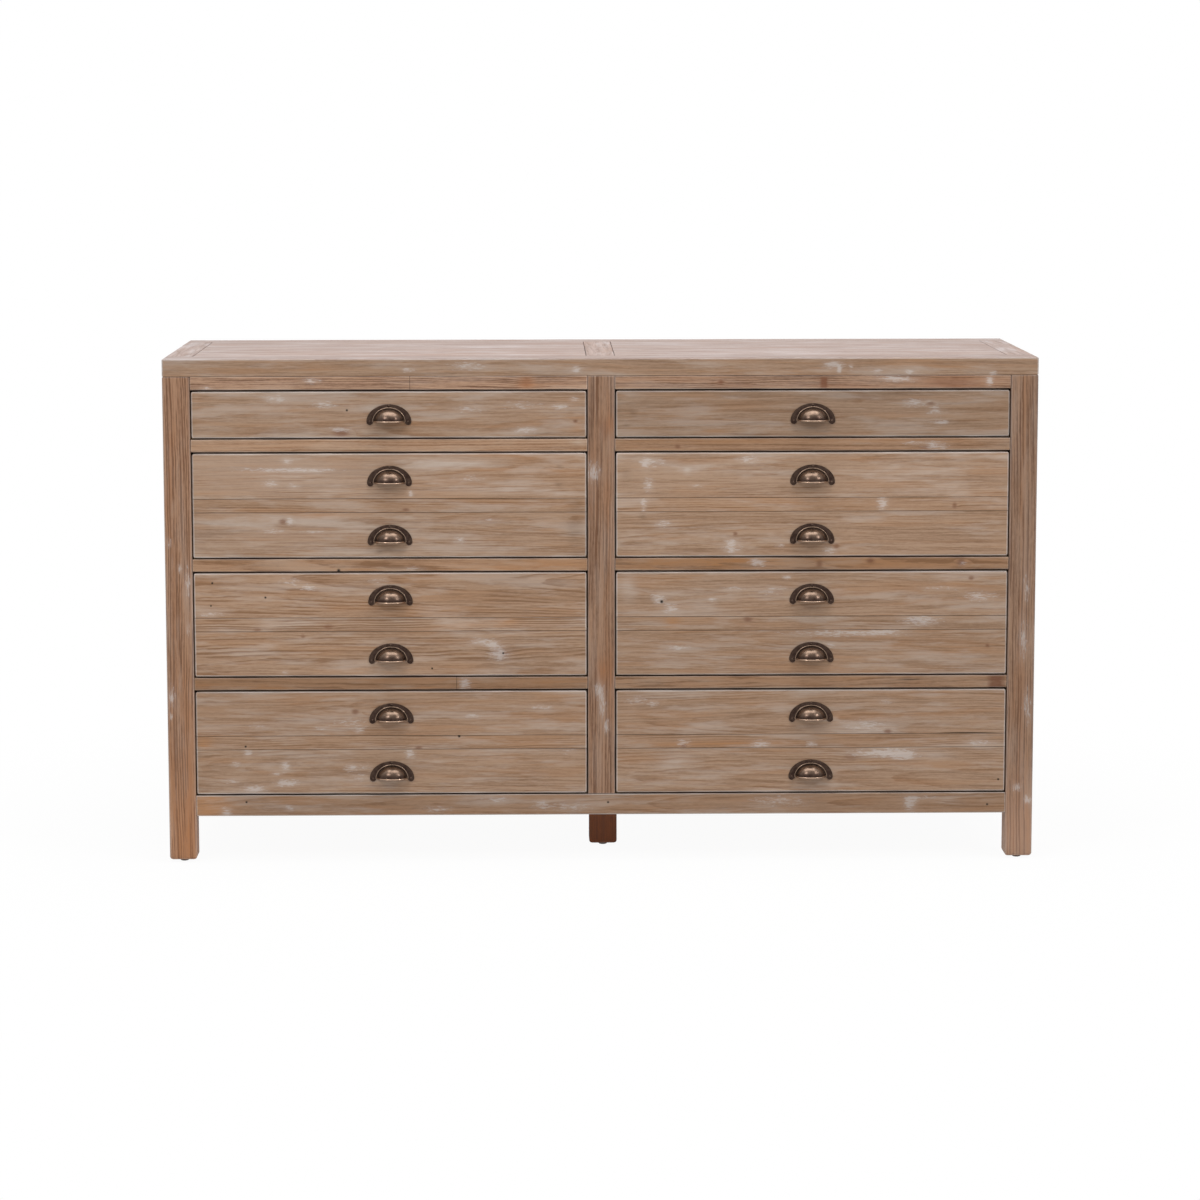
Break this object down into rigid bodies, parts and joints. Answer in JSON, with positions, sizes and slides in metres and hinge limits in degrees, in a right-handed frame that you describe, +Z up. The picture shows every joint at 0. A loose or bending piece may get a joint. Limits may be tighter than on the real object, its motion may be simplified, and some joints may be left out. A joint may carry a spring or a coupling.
{
  "type": "apothecary chest",
  "caption": "Free-standing apothecary chest: limed pine frame with a plank top on square legs, two banks of sliding drawers with cast cup pulls.",
  "frame": {"origin": "on the floor, under the middle of the bounding box", "axes": "+Z up, +X along the front to the viewer's right, drawers open towards -Y"},
  "size_m": [1.6, 0.575, 0.9335],
  "materials": {
    "limed_pine": "limed, waxed, worn",
    "plain_pine": "planed, bare",
    "back_pine": "sawn, bare",
    "dark_pine": "dark stained",
    "antique_brass": "aged, rubbed",
    "screw_brass": "aged",
    "glide_plastic": "moulded"
  },
  "bodies": {
    "carcass": {"back_boards": "back_pine", "bottom_front_rail": "limed_pine", "bottom_panel": "back_pine", "centre_foot": "dark_pine", "centre_partition": "plain_pine", "centre_stile": "limed_pine", "divider_rails": "limed_pine", "drawer_runners": "plain_pine", "drawer_stops": "plain_pine", "floor_glides": "glide_plastic", "front_left_post": "limed_pine", "front_right_post": "limed_pine", "left_side_planks": "limed_pine", "rear_left_post": "limed_pine", "rear_rails": "limed_pine", "rear_right_post": "limed_pine", "rear_stile": "limed_pine", "right_side_planks": "limed_pine", "runner_guides": "plain_pine", "side_rails": "limed_pine", "top_crosspiece": "limed_pine", "top_front_rail": "limed_pine", "top_left_end": "limed_pine", "top_left_planks": "limed_pine", "top_rear_rail": "limed_pine", "top_right_end": "limed_pine", "top_right_planks": "limed_pine", "upper_front_rails": "limed_pine"},
    "left_drawer_1": {"left_drawer_1_box": "plain_pine", "left_drawer_1_front": "limed_pine", "left_drawer_1_pulls": "antique_brass", "left_drawer_1_screws": "screw_brass"},
    "left_drawer_2": {"left_drawer_2_box": "plain_pine", "left_drawer_2_front": "limed_pine", "left_drawer_2_pulls": "antique_brass", "left_drawer_2_screws": "screw_brass"},
    "left_drawer_3": {"left_drawer_3_box": "plain_pine", "left_drawer_3_front": "limed_pine", "left_drawer_3_pulls": "antique_brass", "left_drawer_3_screws": "screw_brass"},
    "left_drawer_4": {"left_drawer_4_box": "plain_pine", "left_drawer_4_front": "limed_pine", "left_drawer_4_pulls": "antique_brass", "left_drawer_4_screws": "screw_brass"},
    "right_drawer_1": {"right_drawer_1_box": "plain_pine", "right_drawer_1_front": "limed_pine", "right_drawer_1_pulls": "antique_brass", "right_drawer_1_screws": "screw_brass"},
    "right_drawer_2": {"right_drawer_2_box": "plain_pine", "right_drawer_2_front": "limed_pine", "right_drawer_2_pulls": "antique_brass", "right_drawer_2_screws": "screw_brass"},
    "right_drawer_3": {"right_drawer_3_box": "plain_pine", "right_drawer_3_front": "limed_pine", "right_drawer_3_pulls": "antique_brass", "right_drawer_3_screws": "screw_brass"},
    "right_drawer_4": {"right_drawer_4_box": "plain_pine", "right_drawer_4_front": "limed_pine", "right_drawer_4_pulls": "antique_brass", "right_drawer_4_screws": "screw_brass"}
  },
  "joints": [
    {"name": "left_drawer_1_slide", "type": "slide", "parent": "carcass", "child": "left_drawer_1", "axis": [0, -1, 0], "range_m": [0, 0.34]},
    {"name": "left_drawer_2_slide", "type": "slide", "parent": "carcass", "child": "left_drawer_2", "axis": [0, -1, 0], "range_m": [0, 0.34]},
    {"name": "left_drawer_3_slide", "type": "slide", "parent": "carcass", "child": "left_drawer_3", "axis": [0, -1, 0], "range_m": [0, 0.34]},
    {"name": "left_drawer_4_slide", "type": "slide", "parent": "carcass", "child": "left_drawer_4", "axis": [0, -1, 0], "range_m": [0, 0.34]},
    {"name": "right_drawer_1_slide", "type": "slide", "parent": "carcass", "child": "right_drawer_1", "axis": [0, -1, 0], "range_m": [0, 0.34]},
    {"name": "right_drawer_2_slide", "type": "slide", "parent": "carcass", "child": "right_drawer_2", "axis": [0, -1, 0], "range_m": [0, 0.34]},
    {"name": "right_drawer_3_slide", "type": "slide", "parent": "carcass", "child": "right_drawer_3", "axis": [0, -1, 0], "range_m": [0, 0.34]},
    {"name": "right_drawer_4_slide", "type": "slide", "parent": "carcass", "child": "right_drawer_4", "axis": [0, -1, 0], "range_m": [0, 0.34]}
  ]
}
